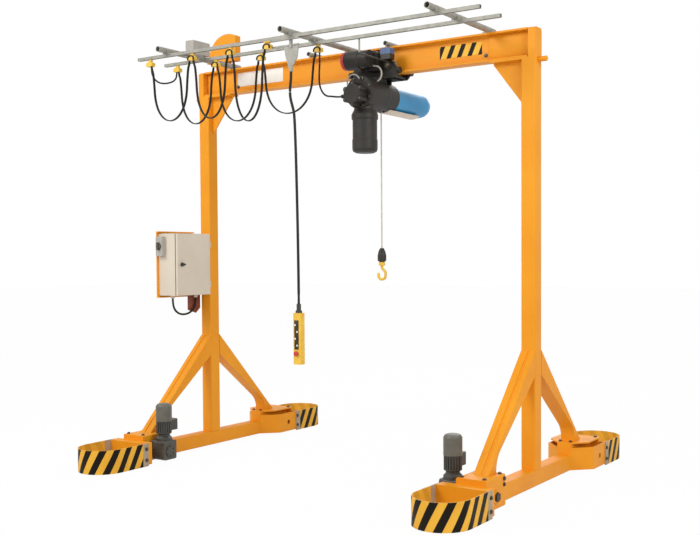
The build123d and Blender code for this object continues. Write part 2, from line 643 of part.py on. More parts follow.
# Hoist trolley: side plates, cross plate, tie bars and buffers
def trolley():
    x0 = HOIST_X - PLATE_L / 2
    x1 = HOIST_X + PLATE_L / 2
    outline = [(x0 + 20, CROSS_BOTTOM), (x1 - 20, CROSS_BOTTOM), (x1, CROSS_BOTTOM + 20),
               (x1, PLATE_TOP - 70), (x1 - 60, PLATE_TOP), (x0 + 60, PLATE_TOP),
               (x0, PLATE_TOP - 70), (x0, CROSS_BOTTOM + 20)]
    body = plate_xz(outline, PLATE_Y, PLATE_Y + PLATE_T) + plate_xz(outline, -PLATE_Y - PLATE_T, -PLATE_Y)
    body = body + block(HOIST_X - 120, HOIST_X + 120, -PLATE_Y - 1, PLATE_Y + 1, CROSS_BOTTOM,
                        CROSS_BOTTOM + CROSS_T)
    for side in (-1, 1):
        tie_z = CROSS_BOTTOM + TIE_D / 2 + 2
        tie = rod(HOIST_X + side * 160, -PLATE_Y - 1, tie_z, TIE_D, 2 * PLATE_Y + 2, "y")
        body = body + tie
        for y in (-PLATE_Y - PLATE_T / 2, PLATE_Y + PLATE_T / 2):
            way = "x" if side > 0 else "-x"
            body = body + rod(HOIST_X + side * (PLATE_L / 2 - 1), y, CROSS_BOTTOM + 46, BUFFER_D, 22, way)
    return body


def roller(x, side):
    z = GIRDER_BOTTOM + FLANGE_T + ROLLER_D / 2 + RUN_GAP
    y0 = WEB_T / 2 + ROOT_R + 4
    y1 = y0 + ROLLER_W
    r = ROLLER_D / 2
    profile = [(0, y0), (r - 4, y0), (r, y0 + 4), (r, y1), (24, y1), (24, y1 + 6), (16, y1 + 6),
               (16, PLATE_Y), (0, PLATE_Y)]
    one = turned(profile, x, 0, z, (-90, 0, 0))
    return one if side > 0 else flip_y(one)


nodes["hoist_trolley"] = trolley()
rollers = [roller(HOIST_X + a * ROLLER_X, b) for a in (-1, 1) for b in (-1, 1)]
nodes["trolley_wheels"] = Compound(children=rollers)

# Trolley travel drive on the front plate
plate_front = -PLATE_Y - PLATE_T
drive_z = PLATE_TOP - DRIVE_RISE
drive_x = HOIST_X - 146
housing = block(HOIST_X - 40, HOIST_X + 66, plate_front - 72, plate_front, PLATE_TOP - 84, PLATE_TOP + 52)
housing = soften(housing, 22, Axis.Y)
travel = turned([(0, 0), (60, 0), (66, 6), (66, 108), (60, 114), (60, 186), (0, 186)],
                drive_x, -DRIVE_Y, drive_z, (0, 90, 0))
nodes["trolley_drive"] = housing + travel
nodes["trolley_brake_cap"] = turned([(0, -34), (48, -34), (63, -22), (63, 0), (0, 0)],
                                    drive_x, -DRIVE_Y, drive_z, (0, 90, 0))
limit = block(HOIST_X + 88, HOIST_X + 166, plate_front - 60, plate_front, PLATE_TOP - 12, PLATE_TOP + 66)
nodes["limit_switch_box"] = soften(limit, 8, Axis.Y)

# Hoist unit: gear case, lobed brake cover, upright motor and rope drum on one axis along Y
case = rod(HOIST_X, -CASE_FRONT, DRUM_Z, 2 * CASE_R, CASE_FRONT - DRUM_FRONT, "y")
case = fillet(case.edges(), 14)
foot = block(HOIST_X - 62, HOIST_X + 62, -150, -DRUM_FRONT, DRUM_Z, CROSS_BOTTOM)
nodes["hoist_gear_case"] = case + foot
cover_z = DRUM_Z - COVER_DROP
cover = rod(HOIST_X, -CASE_FRONT, cover_z, 2 * COVER_R, COVER_L, "-y")
cover = fillet(cover.edges().group_by(Axis.Y)[0], 12)
for i in range(LOBES):
    a = math.radians(30 + i * 360 / LOBES)
    cover = cover + rod(HOIST_X + COVER_R * math.cos(a), -CASE_FRONT, cover_z + COVER_R * math.sin(a),
                        2 * LOBE_R, COVER_L - 14, "-y")
lead_x = HOIST_X - COVER_R - LOBE_R + 6 - 24
lead_z = cover_z - 6
lead_y = -CASE_FRONT - 48
nodes["hoist_brake_cover"] = cover + rod(lead_x, lead_y, lead_z, 26, 60, "x")
motor_z = DRUM_Z - MOTOR_L
top_z = DRUM_Z - CASE_R + 60
r = MOTOR_D / 2
lift_motor = turned([(0, motor_z), (r - 26, motor_z), (r - 6, motor_z + 9), (r, motor_z + 28),
                     (r, motor_z + 90), (r - 3, motor_z + 93), (r - 3, motor_z + 226),
                     (r + 4, motor_z + 232), (r + 4, motor_z + 262), (r - 14, motor_z + 296),
                     (r - 14, top_z), (0, top_z)], HOIST_X, -MOTOR_Y, 0)
nodes["hoist_motor"] = lift_motor - nodes["hoist_gear_case"]
drum_l = DRUM_BACK + DRUM_FRONT
nodes["rope_drum"] = turned([(0, 0), (DRUM_R, 0), (DRUM_R, drum_l - 70), (DRUM_R - 10, drum_l - 30),
                             (DRUM_R - 40, drum_l), (0, drum_l)], HOIST_X, -DRUM_FRONT, DRUM_Z, (-90, 0, 0))
ring_r = DRUM_R + RING_T
ring_l = RING_BACK + DRUM_FRONT
ring = rod(HOIST_X, -DRUM_FRONT, DRUM_Z, 2 * ring_r, ring_l, "y")
for y in (-20, 46):
    ring = ring + block(HOIST_X - 52, HOIST_X + 52, y, y + 14, DRUM_Z, CROSS_BOTTOM)
ring = ring - rod(HOIST_X, -2 * DRUM_FRONT, DRUM_Z, 2 * (DRUM_R + SEAT), 4 * ring_l, "y")
slot = block(HOIST_X - ROPE_SLOT / 2, HOIST_X + ROPE_SLOT / 2, -ROPE_SLOT / 2, ROPE_SLOT / 2,
             DRUM_Z - 2 * ring_r, DRUM_Z)
nodes["rope_guide"] = ring - slot
tray = rod(HOIST_X, 0, DRUM_Z, 2 * (ring_r + SEAT + TRAY_T), TRAY_BACK, "y")
tray = tray - rod(HOIST_X, -1, DRUM_Z, 2 * (ring_r + SEAT), TRAY_BACK + 2, "y")
nodes["drum_tray"] = tray & block(HOIST_X - 200, HOIST_X + 200, ROPE_SLOT / 2 + 2, TRAY_BACK, DRUM_Z - 200,
                                  DRUM_Z - TRAY_SHARE * ring_r)

# Tow arm that pulls the inner cable carriers along
tow_x = HOIST_X + TOW_X
tow_y = -INNER_Y + TOW_BACK
tow_z = PLATE_TOP - TOW_DROP
tow = rod(tow_x, tow_y, tow_z, TOW_D, CARRIER_TOP - tow_z, "z")
tow = tow + rod(tow_x, plate_front, tow_z, TOW_D, plate_front - tow_y, "-y")
nodes["tow_arm"] = tow + Pos(tow_x, tow_y, tow_z) * Sphere(TOW_D / 2)

# Rope, hook block and hook
rope_top = DRUM_Z - DRUM_R - 0.2
nodes["hoist_rope"] = rod(HOIST_X, 0, BLOCK_TOP, ROPE_D, rope_top - BLOCK_TOP, "z")
block_foot = BLOCK_TOP - BLOCK_H
nodes["hook_block"] = turned([(0, block_foot), (20, block_foot), (31, block_foot + 10), (31, BLOCK_TOP - 52),
                              (24, BLOCK_TOP - 22), (13, BLOCK_TOP), (0, BLOCK_TOP)], HOIST_X, 0, 0)
hook_top = block_foot - 0.3
collar = turned([(0, hook_top - 26), (20, hook_top - 26), (23, hook_top - 20), (23, hook_top - 5),
                 (18, hook_top), (0, hook_top)], HOIST_X, 0, 0)
bowl_z = hook_top - HOOK_DROP + HOOK_R + HOOK_D
reach = 1.1 * HOOK_R
hook_line = [(HOIST_X, 0, hook_top - 20), (HOIST_X, 0, bowl_z + 1.9 * HOOK_R),
             (HOIST_X + reach, 0, bowl_z + 0.9 * HOOK_R),
             (HOIST_X + reach, 0, bowl_z - HOOK_R), (HOIST_X - reach, 0, bowl_z - HOOK_R),
             (HOIST_X - reach, 0, bowl_z + 0.35 * HOOK_R)]
path = FilletPolyline(*hook_line, radius=[0.5 * HOOK_R, 0.7 * HOOK_R, 0.95 * HOOK_R, 0.95 * HOOK_R])
bend = sweep(Plane(origin=path @ 0, z_dir=path % 0) * Circle(HOOK_D / 2), path=path)
tip = Pos(HOIST_X - reach, 0, bowl_z + 0.35 * HOOK_R) * Sphere(HOOK_D / 2)
nodes["hook"] = collar + bend + tip

# Cables: festoon loops, pendant cable and short leads
# Half of a hanging loop: places beside a carrier, then shares of its inner span and of its drop
LOOP_TOP = [(0, 0), (0, -22), (12, -44), (18, -88)]
LOOP = [(0, 0.36), (0.02, 0.58), (0.11, 0.79), (0.28, 0.945)]
LOOP_IN = 24.0
loop_start = CARRIER_L / 2 - SADDLE_CUT - CABLE_D / 3
cable_top = CARRIER_BOTTOM - SEAT


def loop_points(x0, x1, y, drop):
    """Points of one loop between two carriers."""
    span = x1 - x0 - 2 * LOOP_IN
    half = [(a, b) for a, b in LOOP_TOP] + [(LOOP_IN + span * a, -drop * b) for a, b in LOOP]
    line = half + [((x1 - x0) / 2, -drop)] + [(x1 - x0 - a, b) for a, b in reversed(half)]
    return [(x0 + a, y, cable_top + b) for a, b in line]


def loops(stops, drops, y, name):
    made = []
    for a, b, drop in zip(stops, stops[1:], drops):
        made.append(cord(loop_points(a + loop_start, b - loop_start, y, drop), CABLE_D, name))
    return Compound(children=made)


nodes["outer_cable_loops"] = loops(OUTER_STOPS, OUTER_DROPS, -OUTER_Y - 8, "outer loop")
nodes["inner_cable_loops"] = loops(INNER_STOPS, INNER_DROPS, -INNER_Y - 8, "inner loop")
link = [(-1265, -732, 0), (-1265, -732, -40), (-1267, -708, -80), (-1268, -662, -102), (-1265, -610, -102),
        (-1262, -558, -90), (-1259, -514, -70), (-1257, -486, -38), (-1257, -486, 0)]
nodes["link_cable"] = cord([(x, y, cable_top + z) for x, y, z in link], CABLE_D, "link cable")
lead_drop = lead_z - cable_top
lead = [(54, -464, 0), (54, -464, -66), (45, -459, -140), (32, -442, -208), (29, -408, -256),
        (43, -376, -282), (68, -346, lead_drop + 6), (102, lead_y, lead_drop),
        (lead_x - SEAT, lead_y, lead_drop)]
nodes["hoist_cable"] = cord([(x, y, cable_top + z) for x, y, z in lead], CABLE_D, "hoist cable")
grip_z = tip_z - 26 - SEAT
hang_x = pendant_x - PENDANT_X
neck_z = neck_foot + NECK_L + SEAT - grip_z
drop_points = [(0, 0), (0, -46), (-10, -106), (-9, -168), (11, -230), (30, -298),
               (hang_x, -1180), (hang_x, neck_z)]
nodes["pendant_cable"] = cord([(PENDANT_X + x, -PENDANT_Y, grip_z + z) for x, z in drop_points],
                              PENDANT_CABLE_D, "pendant cable")
loop_x = CAB_X - CAB_D / 2
under = [(0, 0), (0, -50), (24, -96), (70, -124), (130, -130), (186, -118), (228, -88), (250, -46), (250, 0)]
nodes["cabinet_cable"] = cord([(loop_x, gland_y[0] + y, CAB_Z - GLAND_L - SEAT + z) for y, z in under],
                              CABINET_CABLE_D, "cabinet cable")

os.makedirs("parts", exist_ok=True)
for name, shape in nodes.items():
    export_step(shape, "parts/%s.step" % name)
print(len(nodes), "nodes")
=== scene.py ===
import math

import bpy
from mathutils import Matrix, Vector


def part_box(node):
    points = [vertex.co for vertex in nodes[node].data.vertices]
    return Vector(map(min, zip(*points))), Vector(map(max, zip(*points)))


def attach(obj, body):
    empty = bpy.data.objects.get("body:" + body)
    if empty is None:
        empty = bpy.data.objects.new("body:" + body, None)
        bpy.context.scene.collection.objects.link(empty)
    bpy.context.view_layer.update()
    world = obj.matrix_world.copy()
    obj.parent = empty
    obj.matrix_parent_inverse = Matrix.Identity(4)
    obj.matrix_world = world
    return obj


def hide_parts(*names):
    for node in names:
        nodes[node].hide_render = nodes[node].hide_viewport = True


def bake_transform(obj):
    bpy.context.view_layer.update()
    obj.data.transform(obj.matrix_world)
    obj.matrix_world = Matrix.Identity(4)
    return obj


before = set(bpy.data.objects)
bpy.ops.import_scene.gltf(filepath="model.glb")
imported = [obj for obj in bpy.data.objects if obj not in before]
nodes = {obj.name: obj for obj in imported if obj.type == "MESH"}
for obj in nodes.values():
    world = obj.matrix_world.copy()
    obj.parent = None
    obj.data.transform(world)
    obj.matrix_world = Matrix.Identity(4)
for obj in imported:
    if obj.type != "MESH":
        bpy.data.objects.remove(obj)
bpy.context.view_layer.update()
MM = 0.001
RIGHT, UP, FRONT, BACK = Vector((1, 0, 0)), Vector((0, 0, 1)), Vector((0, -1, 0)), Vector((0, 1, 0))

# Camera: place and lens of the photograph, in metres, degrees and pixels of a 700 x 535 picture
PHOTO_W, PHOTO_H = 700, 535
CAMERA_AT = Vector((4.126, -5.921, 1.508))
YAW, PITCH, ROLL = 32.857, -1.959, -0.288
FOCAL_PX = 997.12
CENTRE_U, CENTRE_V = 388.86, 291.45
SENSOR_MM = 36.0
CLIP_END = 200


def make_camera():
    """Camera that stands and looks as the photograph's did."""
    yaw, pitch, roll = math.radians(YAW), math.radians(PITCH), math.radians(ROLL)
    ahead = Vector((-math.sin(yaw) * math.cos(pitch), math.cos(yaw) * math.cos(pitch), math.sin(pitch)))
    level = Vector((math.cos(yaw), math.sin(yaw), 0))
    above = level.cross(ahead)
    right = level * math.cos(roll) + above * math.sin(roll)
    up = above * math.cos(roll) - level * math.sin(roll)
    data = bpy.data.cameras.new("photo_camera")
    data.sensor_width = SENSOR_MM
    data.lens = FOCAL_PX / PHOTO_W * SENSOR_MM
    data.shift_x = (PHOTO_W / 2 - CENTRE_U) / PHOTO_W
    data.shift_y = (CENTRE_V - PHOTO_H / 2) / PHOTO_W
    data.clip_end = CLIP_END
    camera = bpy.data.objects.new("photo_camera", data)
    turn = Matrix((right, up, -ahead)).transposed().to_4x4()
    camera.matrix_world = Matrix.Translation(CAMERA_AT) @ turn
    bpy.context.scene.collection.objects.link(camera)
    bpy.context.scene.camera = camera


make_camera()

# Material tools: how far gloss varies about its mean, and how deep the orange peel is
GLOSS_UNDER, GLOSS_OVER = 0.07, 0.09
PEEL_DEPTH = 0.4 * MM


def rgb(code):
    """Linear colour from an sRGB hex code."""
    parts = [int(code[i:i + 2], 16) / 255 for i in (1, 3, 5)]
    linear = [c / 12.92 if c <= 0.04045 else ((c + 0.055) / 1.055) ** 2.4 for c in parts]
    return (*linear, 1.0)


def add(tree, kind, links=None, **settings):
    """Adds a node, sets its properties, and fills its inputs with values or links."""
    node = tree.nodes.new("ShaderNode" + kind)
    for key, value in settings.items():
        setattr(node, key, value)
    for socket, value in (links or {}).items():
        if isinstance(value, bpy.types.NodeSocket):
            tree.links.new(value, node.inputs[socket])
        else:
            node.inputs[socket].default_value = value
    return node


def calc(tree, operation, *values):
    """Result of a sum on numbers or sockets."""
    return add(tree, "Math", dict(enumerate(values)), operation=operation).outputs[0]


def blank(name):
    """Empty material with its tree, its surface shader and its object coordinates."""
    material = bpy.data.materials.new(name)
    material.use_nodes = True
    tree = material.node_tree
    shader = tree.nodes["Principled BSDF"]
    place = add(tree, "TexCoord").outputs["Object"]
    return material, tree, shader, place


def per_metre(size_mm):
    """Texture scale whose features are about this many millimetres wide."""
    return 1000.0 / size_mm


def noise(tree, place, size_mm, detail):
    """Soft random pattern."""
    links = {"Vector": place, "Scale": per_metre(size_mm), "Detail": detail}
    return add(tree, "TexNoise", links).outputs["Fac"]


def blended(tree, factor, first, second):
    """Colour between two colours."""
    links = {"Factor": factor, "A": first, "B": second}
    return add(tree, "Mix", links, data_type="RGBA").outputs["Result"]


def mottle(tree, place, size_mm, first, second, spread=0.15):
    """Colour that drifts between two codes in soft patches."""
    links = {"Value": noise(tree, place, size_mm, 4.0), "From Min": 0.5 - spread, "From Max": 0.5 + spread}
    return blended(tree, add(tree, "MapRange", links).outputs["Result"], rgb(first), rgb(second))


def orange_peel(tree, shader, place, size_mm, strength):
    """Fine uneven relief of a sprayed or moulded skin."""
    links = {"Height": noise(tree, place, size_mm, 2.0), "Strength": strength, "Distance": PEEL_DEPTH}
    tree.links.new(add(tree, "Bump", links).outputs["Normal"], shader.inputs["Normal"])


def coating(name, first, second, rough, patch_mm, peel_mm, peel, metallic=0.0, shine=0.5):
    """Sprayed or moulded skin: colour in soft patches, gloss that varies about a mean, fine orange peel."""
    material, tree, shader, place = blank(name)
    shade = mottle(tree, place, patch_mm, first, second)
    tree.links.new(shade, shader.inputs["Base Color"])
    gloss = {"Value": noise(tree, place, patch_mm / 3, 3.0),
             "To Min": rough - GLOSS_UNDER, "To Max": rough + GLOSS_OVER}
    tree.links.new(add(tree, "MapRange", gloss).outputs["Result"], shader.inputs["Roughness"])
    shader.inputs["Metallic"].default_value = metallic
    shader.inputs["Specular IOR Level"].default_value = shine
    orange_peel(tree, shader, place, peel_mm, peel)
    return material


# Orange enamel: sprayed machine paint on steel, even colour with a soft sheen
orange_enamel = coating("orange_enamel", "#EE9D1C", "#E89416", 0.48, 420, 9, 0.12, shine=0.25)
# Cream powder coat: fine, slightly pebbled satin skin
cream_powder_coat = coating("cream_powder_coat", "#D9CDBB", "#D2C5B1", 0.46, 300, 4, 0.16)
# Machine paints on cast housings
motor_grey_paint = coating("motor_grey_paint", "#4E4B43", "#413F38", 0.50, 90, 5, 0.25)
hoist_black_paint = coating("hoist_black_paint", "#2E2B25", "#24221D", 0.5, 110, 6, 0.25, shine=0.35)
hoist_blue_enamel = coating("hoist_blue_enamel", "#2E93C8", "#2586BA", 0.36, 160, 8, 0.12)
brake_red_enamel = coating("brake_red_enamel", "#C8363A", "#B92E33", 0.4, 60, 6, 0.15)
safety_yellow_enamel = coating("safety_yellow_enamel", "#E9BE3C", "#DFB231", 0.4, 50, 5, 0.15)
white_enamel = coating("white_enamel", "#F1EEE6", "#E8E4DA", 0.4, 90, 5, 0.1)
# Painted shade: the orange steel bracket under the cabinet, darkened to the red-brown it shows in deep
# shadow
bracket_shade_brown = coating("bracket_shade_brown", "#84432F", "#733826", 0.6, 60, 5, 0.15)
# Moulded plastics and rubber
yellow_abs = coating("yellow_abs", "#EFC242", "#E6B737", 0.42, 70, 3, 0.12)
grey_abs = coating("grey_abs", "#B3AEA6", "#A9A49B", 0.5, 70, 3, 0.12)
black_abs = coating("black_abs", "#1E1D1B", "#171615", 0.45, 40, 3, 0.12)
white_abs = coating("white_abs", "#E6E2D6", "#DAD6C9", 0.45, 30, 3, 0.1)
charcoal_abs = coating("charcoal_abs", "#5B564C", "#4E4A41", 0.5, 30, 3, 0.12)
black_rubber = coating("black_rubber", "#211F1A", "#181613", 0.6, 60, 2, 0.2, shine=0.3)
# Bare and plated metals
wheel_iron = coating("wheel_iron", "#4C4944", "#393733", 0.48, 40, 3, 0.3, metallic=0.8)
zinc_steel = coating("zinc_steel", "#A09E94", "#8E8C82", 0.5, 45, 6, 0.12, metallic=0.25)
bolt_steel = coating("bolt_steel", "#6B655A", "#4F4A41", 0.45, 14, 2, 0.2, metallic=0.7)
rope_steel = coating("rope_steel", "#CBC3B3", "#B5AD9D", 0.5, 12, 2, 0.4, metallic=0.25)

# Guards: middle of a bend and its radius, and how much nearer the middle the front ones stand
GUARD_X, GUARD_Y, GUARD_R, GUARD_SHIFT = 1.4, 1.12, 0.18, 0.02
# Hazard bars: pitch and lean, how faint they are inside, and the depth that counts as the outer face
STRIPE_PITCH, STRIPE_LEAN, STRIPE_FAINT, OUTER_SKIN = 0.103, 0.52, 0.18, 0.002
# Bare tabs at a guard's ends: how far out they reach on its two faces
TAB_INSIDE, TAB_OUTSIDE = 0.965, 0.922
HAZARD_ROUGH, HAZARD_SHINE = 0.5, 0.15
# Keeps the angle round a bend from jumping along the straight legs
LEAST = 1e-5


def matt(shader):
    """Dull gloss of the hazard paint."""
    shader.inputs["Roughness"].default_value = HAZARD_ROUGH
    shader.inputs["Specular IOR Level"].default_value = HAZARD_SHINE


def guard_enamel():
    """Yellow enamel with black hazard bars outside, faint bars inside and bare tabs at the ends.
    The bars follow the distance along the bent band."""
    material, tree, shader, place = blank("guard_enamel")

    def do(operation, *values):
        return calc(tree, operation, *values)

    axes = add(tree, "SeparateXYZ", {0: place}).outputs
    front = do("LESS_THAN", axes[1], 0.0)
    centre = do("SUBTRACT", GUARD_X, do("MULTIPLY", front, GUARD_SHIFT))
    x = do("SUBTRACT", axes[0], do("MULTIPLY", do("SIGN", axes[0]), centre))
    t = do("SUBTRACT", do("ABSOLUTE", axes[1]), GUARD_Y)
    side = do("SIGN", axes[1])
    ahead = do("MULTIPLY", side, do("MAXIMUM", t, LEAST))
    legs = do("MULTIPLY", do("MULTIPLY", side, do("MINIMUM", t, 0.0)), do("SIGN", x))
    along = do("ADD", do("MULTIPLY", do("ARCTAN2", ahead, x), GUARD_R), legs)
    slanted = do("SUBTRACT", along, do("MULTIPLY", axes[2], STRIPE_LEAN))
    share = do("FRACT", do("DIVIDE", slanted, STRIPE_PITCH))
    bar = do("GREATER_THAN", share, 0.5)
    radius = do("SQRT", do("ADD", do("MULTIPLY", x, x), do("POWER", do("MAXIMUM", t, 0.0), 2.0)))
    outside = do("GREATER_THAN", radius, GUARD_R - OUTER_SKIN)
    strength = do("MULTIPLY", bar, do("ADD", do("MULTIPLY", outside, 1 - STRIPE_FAINT), STRIPE_FAINT))
    yellow = mottle(tree, place, 240, "#EFB53F", "#E5A832")
    striped = blended(tree, strength, yellow, rgb("#130D05"))
    tab_end = do("SUBTRACT", TAB_INSIDE, do("MULTIPLY", outside, TAB_INSIDE - TAB_OUTSIDE))
    tab = do("LESS_THAN", do("ABSOLUTE", axes[1]), tab_end)
    bare = mottle(tree, place, 60, "#B5A48C", "#A0917B", 0.2)
    tree.links.new(blended(tree, tab, striped, bare), shader.inputs["Base Color"])
    matt(shader)
    orange_peel(tree, shader, place, 9, 0.12)
    return material


hazard_guard = guard_enamel()

# Hazard panel on the girder: its lower left corner and its size, then its bars' pitch, share, lean and start
PANEL_X, PANEL_Z, PANEL_L, PANEL_H = 0.727, 2.847, 0.320, 0.083
BAR_PITCH, BAR_SHARE, BAR_LEAN, BAR_START = 0.08, 0.44, 0.45, 0.03


def panel_enamel():
    """Yellow enamel with black bars that lean to the right."""
    material, tree, shader, place = blank("panel_enamel")
    axes = add(tree, "SeparateXYZ", {0: place}).outputs
    rise = calc(tree, "MULTIPLY_ADD", axes[2], -BAR_LEAN, axes[0])
    start = PANEL_X - BAR_START - BAR_LEAN * PANEL_Z
    bars = calc(tree, "DIVIDE", calc(tree, "SUBTRACT", rise, start), BAR_PITCH)
    bar = calc(tree, "LESS_THAN", calc(tree, "FRACT", bars), BAR_SHARE)
    yellow = mottle(tree, place, 120, "#F2C04A", "#EBB53C")
    tree.links.new(blended(tree, bar, yellow, rgb("#110B04")), shader.inputs["Base Color"])
    matt(shader)
    return material


hazard_panel_enamel = panel_enamel()


def two_tone(name, axis, level, before, after, patch_mm, rough):
    """Two skins on one piece that meet at a level along an axis."""
    material, tree, shader, place = blank(name)
    way = add(tree, "SeparateXYZ", {0: place}).outputs[axis]
    past = calc(tree, "GREATER_THAN", way, level)
    first = mottle(tree, place, patch_mm, *before)
    second = mottle(tree, place, patch_mm, *after)
    tree.links.new(blended(tree, past, first, second), shader.inputs["Base Color"])
    shader.inputs["Roughness"].default_value = rough
    orange_peel(tree, shader, place, 5, 0.2)
    return material


YELLOW, BLACK, ZINC = ("#EFC242", "#E6B737"), ("#2E2B25", "#24221D"), ("#A8A69C", "#96948A")
# Travel motors: dark finned bodies under paler fan cowls
motor_paint = two_tone("motor_paint", "Z", 0.320, ("#3F3D36", "#35332D"), ("#656258", "#58554C"), 60, 0.48)
# Tow arm: bare upright rod on a painted bar
tow_steel = two_tone("tow_steel", "Z", 2.8605, BLACK, ZINC, 40, 0.5)
# Limit switch: slate-blue moulded lid on a black base
limit_abs = two_tone("limit_abs", "Z", 2.905, BLACK, ("#4F6A92", "#465F86"), 40, 0.5)
# Pendant: yellow moulded case under a dark rubber cable boot
pendant_abs = two_tone("pendant_abs", "Z", 1.1445, YELLOW, ("#3A3832", "#302E29"), 70, 0.45)
# Pendant trolley: yellow saddle at the end of a zinc-plated bar
trolley_zinc = two_tone("trolley_zinc", "X", -0.139, YELLOW, ZINC, 45, 0.5)

FINISHES = {
    orange_enamel: ["girder", "right_column", "left_column", "right_end_beam", "left_end_beam",
                    "right_braces", "left_braces", "front_carriages", "rear_carriages", "supply_hood",
                    "cabinet_back_plate"],
    hazard_guard: ["front_guards", "rear_guards"],
    zinc_steel: ["outer_cable_rail", "inner_cable_rail", "cable_rail_arms", "lifting_tubes",
                 "trolley_wheels"],
    wheel_iron: ["travel_wheels"],
    motor_grey_paint: ["drive_gearboxes"],
    motor_paint: ["drive_motors"],
    cream_powder_coat: ["cabinet", "cabinet_door", "drum_tray"],
    hoist_black_paint: ["hoist_trolley", "hoist_gear_case", "hoist_motor", "trolley_drive",
                        "hoist_brake_cover", "hook_block", "rope_guide"],
    hoist_blue_enamel: ["rope_drum"],
    limit_abs: ["limit_switch_box"],
    tow_steel: ["tow_arm"],
    trolley_zinc: ["pendant_trolley"],
    pendant_abs: ["pendant_control"],
    charcoal_abs: ["main_switch_handle"],
    brake_red_enamel: ["trolley_brake_cap"],
    safety_yellow_enamel: ["hook"],
    yellow_abs: ["cable_end_clamps", "outer_cable_carrier_1", "outer_cable_carrier_2",
                 "inner_cable_carrier_1", "inner_cable_carrier_2", "inner_cable_carrier_3"],
    grey_abs: ["junction_box", "main_switch_box"],
}
for material, names in FINISHES.items():
    for name in names:
        slots = nodes[name].data.materials
        slots.clear()
        slots.append(material)

# Modelling tools
SMOOTH_DEG = 35
# Bolt parts as shares of the head's radius, and the rounding of the head
WASHER_R, WASHER_T, HEAD_T, HEAD_EDGE_MM = 1.3, 0.25, 0.75, 0.8


def only(*objects):
    """Selects these objects and makes the first one active."""
    bpy.ops.object.select_all(action="DESELECT")
    for item in objects:
        item.select_set(True)
    bpy.context.view_layer.objects.active = objects[0]


def settle(made, at, size=(1, 1, 1), turn=(0, 0, 0)):
    """Puts an object's size, turn and place into its mesh."""
    made.scale = size
    made.rotation_euler = turn
    made.location = at
    only(made)
    bpy.ops.object.transform_apply(location=True, rotation=True, scale=True)


def soften(made, width_mm):
    """Rounds an object's sharp edges."""
    edge = made.modifiers.new("edge", "BEVEL")
    edge.width = width_mm * MM
    edge.segments = 2
    edge.limit_method = "ANGLE"
    only(made)
    bpy.ops.object.modifier_apply(modifier="edge")


def slab(low, high, width_mm=0.0):
    """Box between two corners, with rounded edges."""
    bpy.ops.object.select_all(action="DESELECT")
    bpy.ops.mesh.primitive_cube_add(size=1)
    made = bpy.context.object
    low, high = Vector(low), Vector(high)
    settle(made, (low + high) / 2, high - low)
    if width_mm:
        soften(made, width_mm)
    return made


def disc(at, way, radius, height, sides=32, width_mm=0.0):
    """Cylinder or prism that stands on a point and rises along a direction."""
    bpy.ops.object.select_all(action="DESELECT")
    bpy.ops.mesh.primitive_cylinder_add(vertices=sides, radius=1, depth=1)
    made = bpy.context.object
    way = Vector(way)
    turn = way.to_track_quat("Z", "Y").to_euler()
    settle(made, Vector(at) + way * height / 2, (radius, radius, height), turn)
    if width_mm:
        soften(made, width_mm)
    return made


def bolt(at, way, radius=0.0105):
    """Washer and hexagon head."""
    washer = disc(at, way, WASHER_R * radius, WASHER_T * radius)
    top = Vector(at) + Vector(way) * WASHER_T * radius
    return [washer, disc(top, way, radius, HEAD_T * radius, sides=6, width_mm=HEAD_EDGE_MM)]


def bolt_ring(centre, side, way, ring, count, radius):
    """Bolts on an upright circle, the first one half a step up from the side direction."""
    made = []
    for i in range(count):
        angle = 2 * math.pi * (i + 0.5) / count
        made += bolt(Vector(centre) + ring * (math.cos(angle) * side + math.sin(angle) * UP), way, radius)
    return made


def arch(at, reach, thick, flat, legs, turn=0.0):
    """Half ring in X and Z, flattened, with straight legs down from its ends."""
    bpy.ops.object.select_all(action="DESELECT")
    bpy.ops.mesh.primitive_torus_add(major_radius=reach, minor_radius=thick, major_segments=36,
                                     minor_segments=10)
    made = bpy.context.object
    settle(made, (0, 0, 0), (1, flat, 1), (math.pi / 2, 0, 0))
    bpy.ops.object.mode_set(mode="EDIT")
    bpy.ops.mesh.select_all(action="SELECT")
    bpy.ops.mesh.bisect(plane_co=(0, 0, 0), plane_no=UP, clear_inner=True)
    bpy.ops.mesh.extrude_region_move(TRANSFORM_OT_translate={"value": (0, 0, -legs)})
    bpy.ops.mesh.edge_face_add()
    bpy.ops.object.mode_set(mode="OBJECT")
    settle(made, at, (1, 1, 1), (0, turn, 0))
    return made


def trim(made, cuts):
    """Cuts away what lies past each plane, given as a point and a direction, and closes the cut."""
    only(made)
    bpy.ops.object.mode_set(mode="EDIT")
    for at, way in cuts:
        bpy.ops.mesh.select_all(action="SELECT")
        bpy.ops.mesh.bisect(plane_co=at, plane_no=way, clear_outer=True, use_fill=True)
    bpy.ops.object.mode_set(mode="OBJECT")


def gather(name, pieces, body, material, node=None):
    """Joins pieces into one object that rides on a body, if one is given, and may stand for a node."""
    only(*pieces)
    if len(pieces) > 1:
        bpy.ops.object.join()
    made = bpy.context.object
    made.name = name
    made.data.materials.clear()
    made.data.materials.append(material)
    bpy.ops.object.shade_smooth_by_angle(angle=math.radians(SMOOTH_DEG))
    if body:
        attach(made, body)
    if node:
        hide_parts(node)
    return made


